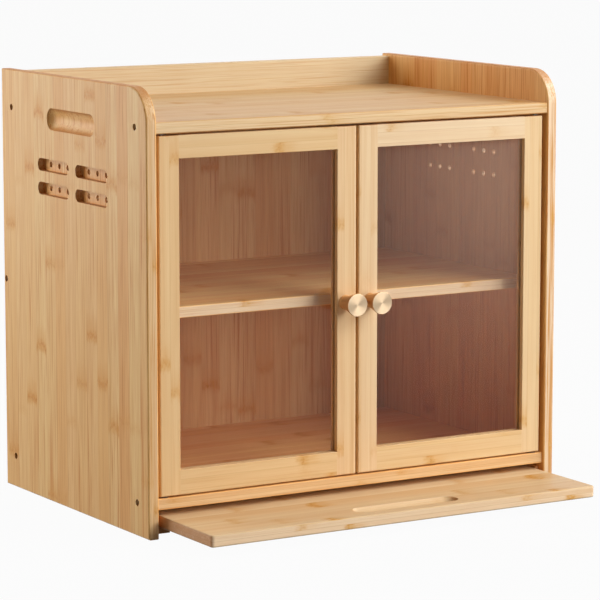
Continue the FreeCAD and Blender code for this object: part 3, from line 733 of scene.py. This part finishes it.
# ---- sub-assemblies -------------------------------------------------------------------------------
@dataclass
class Knob:
    """One turned knob: a slim cone that widens from the door to a flat, ringed face; metres."""

    name: str
    stands_for: str
    body: str
    centre: Vector
    length: float
    foot_radius: float = 6.0 * MM
    waist_radius: float = 5.5 * MM
    foot_height: float = 1.2 * MM
    cone_start: float = 1.7 * MM
    hollow: float = 0.35 * MM
    face_radius: float = 9.5 * MM
    rim: float = 1.2 * MM
    round_over: float = 0.35 * MM
    dish: float = 0.12 * MM
    sides: int = 96
    cone_points: int = 24
    edge_points: int = 7
    face_points: int = 20

    UV_NAME: ClassVar[str] = "turned"

    def profile(self) -> np.ndarray:
        """Radius and distance from the door at points from the foot's middle to the face's middle.

        The cone is a straight line from waist to face with a little hollow, a sine's half wave. The
        rim is rounded by a quarter circle, and the face sinks by the dish, a squared cosine.

        Returns:
            An array of (radius, distance) rows.
        """
        foot = [(0.0, 0.0), (self.foot_radius, 0.0), (self.foot_radius, self.foot_height)]
        share = np.linspace(0.0, 1.0, self.cone_points)
        hollow = self.hollow * np.sin(math.pi * share)
        cone_r = self.waist_radius + (self.face_radius - self.waist_radius) * share - hollow
        cone_y = self.cone_start + (self.length - self.rim - self.cone_start) * share
        turn = np.linspace(0.0, math.pi / 2, self.edge_points)
        edge_r = self.face_radius - self.round_over * (1 - np.cos(turn))
        edge_y = self.length - self.round_over * (1 - np.sin(turn))
        inward = np.linspace(1.0, 0.0, self.face_points)[1:]
        face_r = (self.face_radius - self.round_over) * inward
        face_y = self.length - self.dish * np.cos(inward * math.pi / 2) ** 2
        rows = (np.array(foot), np.column_stack((cone_r, cone_y)), np.column_stack((edge_r, edge_y)),
                np.column_stack((face_r, face_y)))
        return np.concatenate(rows)

    def build(self) -> bpy.types.Object:
        """Turns the profile about the knob's axis.

        A point is the axis plus its radius times cosine and sine of the angle in X and Z, and its
        distance from the door towards the front.

        Returns:
            The knob as a mesh object.
        """
        outline = self.profile()[1:-1]
        angle = np.linspace(0.0, 2 * math.pi, self.sides, endpoint=False)
        radius, reach = outline[:, :1], outline[:, 1:]
        x = self.centre.x + radius * np.cos(angle)
        y = self.centre.y - np.broadcast_to(reach, x.shape)
        z = self.centre.z + radius * np.sin(angle)
        rings = np.stack((x, y, z), axis=-1).reshape(-1, 3)
        ends = np.array([(self.centre.x, self.centre.y, self.centre.z),
                         (self.centre.x, self.centre.y - self.profile()[-1, 1], self.centre.z)])
        points = np.concatenate((rings, ends))
        count, sides = len(outline), self.sides
        ring = np.arange(count - 1)[:, None] * sides
        here = np.arange(sides)
        there = (here + 1) % sides
        quads = np.stack((ring + here, ring + there, ring + sides + there, ring + sides + here), axis=-1)
        foot_cap = np.stack((np.full(sides, count * sides), there, here), axis=-1)
        last = (count - 1) * sides
        face_cap = np.stack((last + here, last + there, np.full(sides, count * sides + 1)), axis=-1)
        faces = [*quads.reshape(-1, 4).tolist(), *foot_cap.tolist(), *face_cap.tolist()]
        mesh = bpy.data.meshes.new(self.name)
        mesh.from_pydata(points.tolist(), [], faces)
        mesh.polygons.foreach_set("use_smooth", np.ones(len(mesh.polygons), bool))
        self._map(mesh, points)
        mesh.update()
        knob = bpy.data.objects.new(self.name, mesh)
        bpy.context.scene.collection.objects.link(knob)
        return knob

    def _map(self, mesh: bpy.types.Mesh, points: np.ndarray) -> None:
        """UV map: U is the angle's share of a turn, kept whole across the seam; V the length along.

        Args:
            mesh: the turned mesh.
            points: its vertices.
        """
        layer = mesh.uv_layers.new(name=self.UV_NAME)
        corners = np.empty(len(mesh.loops), np.int32)
        mesh.loops.foreach_get("vertex_index", corners)
        starts = np.empty(len(mesh.polygons), np.int32)
        totals = np.empty(len(mesh.polygons), np.int32)
        mesh.polygons.foreach_get("loop_start", starts)
        mesh.polygons.foreach_get("loop_total", totals)
        offset = points - np.array(self.centre)
        turn = (np.arctan2(offset[:, 2], offset[:, 0]) / (2 * math.pi)) % 1.0
        radius = np.hypot(offset[:, 0], offset[:, 2])
        length = radius + np.abs(offset[:, 1])
        u = turn[corners]
        owner = np.repeat(np.arange(len(starts)), totals)
        highest = np.maximum.reduceat(np.where(radius[corners] > 0, u, 0.0), starts)
        u = np.where((highest[owner] - u > 0.5), u + 1.0, u)
        uv = np.column_stack((u, length[corners]))
        layer.data.foreach_set("uv", uv.astype(np.float32).ravel())


@dataclass
class Door:
    """One framed door: four bamboo sticks, a clear pane, its knob and hidden steel."""

    side: str
    bamboo: LacqueredBamboo
    pattern: Tree
    acrylic: bpy.types.Material
    brass: bpy.types.Material
    steel: bpy.types.Material
    seed: float

    STICKS: ClassVar[dict[str, Grain]] = {
        "hinge_stile": Grain.UPRIGHT_FRONT,
        "meeting_stile": Grain.UPRIGHT_FRONT,
        "bottom_rail": Grain.LYING_RAIL,
        "top_rail": Grain.LYING_RAIL,
    }
    # Casts of single sticks, partly their own tone and partly painted light: the right door's sticks, most
    # of all its top rail, are paler where the key light falls from the upper right, and the left hinge stile
    # is warmer, as in shade.
    STICK_TONES_AND_PAINTED_LIGHT: ClassVar[dict[str, Tint]] = {
        "left_door_hinge_stile": "#F3F0DD",
        "left_door_meeting_stile": "#F6F8F1",
        "right_door_meeting_stile": "#F6F8F3",
        "right_door_hinge_stile": "#F8FFFA",
        "right_door_top_rail": (0.95, 1.04, 1.1, 1.0),
    }
    STEEL: ClassVar[tuple[str, ...]] = ("bottom_pin", "top_pin", "knob_screw", "strike_plate",
                                        "strike_screw")

    def build(self, nodes: Nodes) -> None:
        """Dresses the door's nodes and turns its knob.

        Args:
            nodes: the CAD nodes by name.
        """
        prefix = self.side + "_door_"
        for number, (stick, grain) in enumerate(self.STICKS.items()):
            node = nodes[prefix + stick]
            dress(node, self.bamboo.board(self.pattern, node, grain, DOOR_STICK, self.seed + number,
                                          self.STICK_TONES_AND_PAINTED_LIGHT.get(node.name, "")))
        dress(nodes[prefix + "pane"], self.acrylic)
        for part in self.STEEL:
            dress(nodes[prefix + part], self.steel)
        self._knob(prefix + "knob")
        LOG.info("%s door: 4 sticks, pane, %d steel pieces and a turned knob", self.side, len(self.STEEL))

    def _knob(self, node_name: str) -> None:
        """Turns the knob where its CAD node stands, hangs it on the door's body and hides that node.

        Args:
            node_name: the CAD node.
        """
        low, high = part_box(node_name)
        centre = Vector(((low.x + high.x) / 2, high.y, (low.z + high.z) / 2))
        knob = Knob(self.side + "_turned_knob", node_name, self.side + "_door", centre, high.y - low.y)
        piece = knob.build()
        piece.data.materials.append(self.brass)
        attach(piece, knob.body)
        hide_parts(knob.stands_for)


# Where each door's strips are drawn from; its sticks count on from here.
DOOR_SEEDS: dict[str, float] = {"left": 151.0, "right": 163.0}


@dataclass
class Carcass:
    """The fixed part: side panels, boards, shelf, back, rail, catch, bushes and fasteners."""

    bamboo: LacqueredBamboo
    pattern: Tree
    steel: bpy.types.Material

    # How each board was cut and glued, and the number that its pattern is drawn from.
    BOARDS: ClassVar[dict[str, tuple[Grain, Lamination, float]]] = {
        "left_side_panel": (Grain.UPRIGHT_SIDE, UPRIGHT_PANEL, 11.0),
        "right_side_panel": (Grain.UPRIGHT_SIDE, UPRIGHT_PANEL, 23.0),
        "top_board": (Grain.LYING_BOARD, WIDE_BOARD, 31.0),
        "bottom_board": (Grain.LYING_BOARD, WIDE_BOARD, 43.0),
        "shelf": (Grain.LYING_BOARD, WIDE_BOARD, 57.0),
        "back_panel": (Grain.UPRIGHT_FRONT, UPRIGHT_PANEL, 61.0),
        "back_rail": (Grain.LYING_RAIL, WIDE_BOARD, 73.0),
        "board_stop": (Grain.LYING_BOARD, WIDE_BOARD, 83.0),
        "left_runner": (Grain.RUNNER, WIDE_BOARD, 97.0),
        "right_runner": (Grain.RUNNER, WIDE_BOARD, 103.0),
    }
    # Casts of the broad faces and of the edges: partly each board's own tone, partly painted light and
    # shade. The warmer, redder faces of the shelf, bottom board, back panel and right panel are painted
    # shade, as inside the box; gains above 1 on the shelf and bottom board are painted light that brightens
    # the compartments; the left panel's cast is its own tone.
    FACE_TONES_PAINTED_LIGHT_AND_SHADE: ClassVar[dict[str, Tint]] = {
        "left_side_panel": "#FFF5C8",
        "right_side_panel": "#F7E3B1",
        "shelf": (1.14, 1.12, 0.82, 1.0),
        "bottom_board": (1.06, 0.98, 0.62, 1.0),
        "back_panel": "#E5D4B1",
        "top_board": "#E3DEC5",
        "back_rail": "#E2ECE7",
    }
    # Painted light: the shelf's, right panel's and top board's edges are paler and bluer, as where the front
    # lamps fall.
    EDGE_TONES_AND_PAINTED_LIGHT: ClassVar[dict[str, Tint]] = {
        "shelf": (1.0, 1.12, 1.22, 1.0),
        "right_side_panel": (1.0, 1.12, 1.25, 1.0),
        "top_board": (0.94, 1.05, 1.04, 1.0),
    }
    STEEL: ClassVar[tuple[str, ...]] = ("stop_screws", "catch_screws", "left_side_screws",
                                        "right_side_screws", "left_runner_brads", "right_runner_brads")
    BUSHES: ClassVar[tuple[str, ...]] = ("left_top_bush", "left_bottom_bush", "right_top_bush",
                                         "right_bottom_bush")

    def build(self, nodes: Nodes) -> None:
        """Dresses every node of the fixed part.

        Args:
            nodes: the CAD nodes by name.
        """
        for name, (grain, lamination, seed) in self.BOARDS.items():
            dress(nodes[name], self.bamboo.board(self.pattern, nodes[name], grain, lamination, seed,
                                                 self.FACE_TONES_PAINTED_LIGHT_AND_SHADE.get(name, ""), self.EDGE_TONES_AND_PAINTED_LIGHT.get(name, "")))
        for name in self.STEEL:
            dress(nodes[name], self.steel)
        nylon = NYLON.material()
        for name in self.BUSHES:
            dress(nodes[name], nylon)
        dress(nodes["rail_dowels"], BEECH.material())
        dress(nodes["catch_body"], CATCH_ABS.material())
        dress(nodes["catch_magnets"], FERRITE.material())
        LOG.info("carcass: %d boards, %d sets of fasteners, %d bushes and the catch",
                 len(self.BOARDS), len(self.STEEL), len(self.BUSHES))


@dataclass
class CuttingBoard:
    """The sliding board below the floor board."""

    bamboo: LacqueredBamboo
    pattern: Tree
    seed: float = 131.0
    pale_face: Tint = "#E7ECE6"
    # Painted light: gains above 1 make the front edge paler and brighter, as where the front lamps fall.
    pale_edge_and_painted_light: Tint = (1.0, 1.08, 1.16, 1.0)

    def build(self, nodes: Nodes) -> None:
        """Dresses the board.

        Args:
            nodes: the CAD nodes by name.
        """
        node = nodes["cutting_board"]
        dress(node, self.bamboo.board(self.pattern, node, Grain.LYING_BOARD, SLIDING_BOARD, self.seed,
                                      self.pale_face, self.pale_edge_and_painted_light))
        LOG.info("cutting board: one laminated board with its finger groove")


# ---- studio ---------------------------------------------------------------------------------------
@dataclass(frozen=True)
class Lamp:
    """A square soft box: where it stands, seen from the object, and how strong it is.

    Angles are in degrees, as in Studio.place, and distance and size in metres.
    """

    name: str
    azimuth: float
    elevation: float
    distance: float
    size: float
    watts: float
    colour: str = "#FFFFFF"


@dataclass(frozen=True)
class Studio:
    """White sweep, soft boxes, even world light and the camera; metres, degrees, and mm for the lens."""

    aim: tuple[float, float, float] = (-0.0025, -0.0007, 0.1702)
    camera_azimuth: float = -31.0
    camera_elevation: float = 8.39
    camera_distance: float = 2.604
    lens: float = 181.8
    view_reach: float = 100.0
    floor_half: float = 30.0
    floor_colour: str = "#949494"
    floor_shadow: float = 0.04
    ambient: str = "#FFD2A4"
    ambient_level: float = 0.055
    lamps: tuple[Lamp, ...] = (
        Lamp("key", 36.0, 27.0, 2.0, 1.45, 25.8),
        Lamp("right_fill", 70.0, 32.0, 2.0, 0.8, 15.0),
        Lamp("left_fill", -134.0, 15.0, 2.0, 1.5, 28.7),
        Lamp("low_front_fill", 14.0, 6.0, 2.0, 0.5, 8.0),
        Lamp("top_fill", 0.0, 88.0, 2.0, 0.8, 7.5),
    )

    def place(self, azimuth: float, elevation: float, distance: float) -> Vector:
        """Finds a point at a distance from the aim.

        Args:
            azimuth: degrees, 0 in front and 90 to the right.
            elevation: degrees above the level of the aim.
            distance: metres.

        Returns:
            The point.
        """
        a, e = math.radians(azimuth), math.radians(elevation)
        way = Vector((math.sin(a) * math.cos(e), -math.cos(a) * math.cos(e), math.sin(e)))
        return Vector(self.aim) + way * distance

    def point(self, thing: bpy.types.Object, spot: Vector) -> None:
        """Stands a lamp or camera at a spot and turns it to the aim.

        Args:
            thing: its object, not yet in the scene.
            spot: where it goes.
        """
        bpy.context.scene.collection.objects.link(thing)
        thing.location = spot
        thing.rotation_mode = "QUATERNION"
        thing.rotation_quaternion = (Vector(self.aim) - spot).to_track_quat("-Z", "Y")

    def build(self) -> None:
        """Builds camera, lamps, world and floor."""
        scene = bpy.context.scene
        scene.view_settings.view_transform = "Standard"
        camera = bpy.data.objects.new("camera", bpy.data.cameras.new("camera"))
        camera.data.lens = self.lens
        camera.data.clip_end = self.view_reach
        self.point(camera, self.place(self.camera_azimuth, self.camera_elevation, self.camera_distance))
        scene.camera = camera
        for lamp in self.lamps:
            data = bpy.data.lights.new(lamp.name, "AREA")
            data.shape = "SQUARE"
            data.size = lamp.size
            data.energy = lamp.watts
            data.color = linear(lamp.colour)[:3]
            self.point(bpy.data.objects.new(lamp.name, data),
                       self.place(lamp.azimuth, lamp.elevation, lamp.distance))
        self._world(scene)
        self._floor()
        LOG.info("studio: camera, %d soft boxes, world and floor", len(self.lamps))

    def _seen(self, tree: Tree) -> Node:
        """Tells the rays that see the white room from those that light the object.

        Args:
            tree: the world's tree or the floor's.

        Returns:
            A node that gives one for rays from the camera, from gloss and through glass, else zero.
        """
        ray = add(tree, "LightPath")
        seen = add(tree, "Math", [ray.outputs["Is Camera Ray"], ray.outputs["Is Glossy Ray"]],
                   operation="MAXIMUM")
        return add(tree, "Math", [seen, ray.outputs["Is Transmission Ray"]], operation="MAXIMUM")

    def _world(self, scene: bpy.types.Scene) -> None:
        """White to the camera and in reflections, and an even, warm, weaker light on the object.

        Args:
            scene: the scene that gets the world.
        """
        world = bpy.data.worlds.new("white_room")
        world.use_nodes = True
        tree = world.node_tree
        tree.nodes.clear()
        seen = self._seen(tree)
        level = add(tree, "MapRange", {"Value": seen, "To Min": self.ambient_level, "To Max": 1.0})
        colour = add(tree, "Mix", {"Factor": seen, "A": self.ambient, "B": "#FFFFFF"}, **COLOURS)
        add(tree, "OutputWorld", {"Surface": add(tree, "Background", {"Color": colour, "Strength": level})})
        scene.world = world

    def _floor(self) -> None:
        """Matt white sheet. The camera sees it nearly self-lit, so only a faint shadow stays."""
        corner = self.floor_half
        mesh = bpy.data.meshes.new("floor")
        mesh.from_pydata([(-corner, -corner, 0), (corner, -corner, 0), (corner, corner, 0),
                          (-corner, corner, 0)], [], [(0, 1, 2, 3)])
        floor = bpy.data.objects.new("floor", mesh)
        bpy.context.scene.collection.objects.link(floor)
        material, tree = new_material("white_sheet")
        matt = add(tree, "BsdfDiffuse", {"Color": self.floor_colour})
        white = add(tree, "Emission", {"Color": "#FFFFFF", "Strength": 1.0})
        seen = add(tree, "Math", [self._seen(tree), 1.0 - self.floor_shadow], operation="MULTIPLY")
        close_material(tree, add(tree, "MixShader", [seen, matt, white]))
        mesh.materials.append(material)


def main() -> None:
    """Loads the frame, builds the studio and dresses each sub-assembly in turn."""
    logging.basicConfig(level=logging.INFO, format="%(name)s: %(message)s")
    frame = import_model()
    nodes: Nodes = frame["nodes"]
    Studio().build()
    bamboo = LacqueredBamboo()
    pattern = bamboo.group()
    steel = ZINC_STEEL.material()
    Carcass(bamboo, pattern, steel).build(nodes)
    acrylic = ClearAcrylic().material()
    brass = TurnedBrass().material()
    for side, seed in DOOR_SEEDS.items():
        Door(side, bamboo, pattern, acrylic, brass, steel, seed).build(nodes)
    CuttingBoard(bamboo, pattern).build(nodes)


if __name__ == "__main__":
    main()
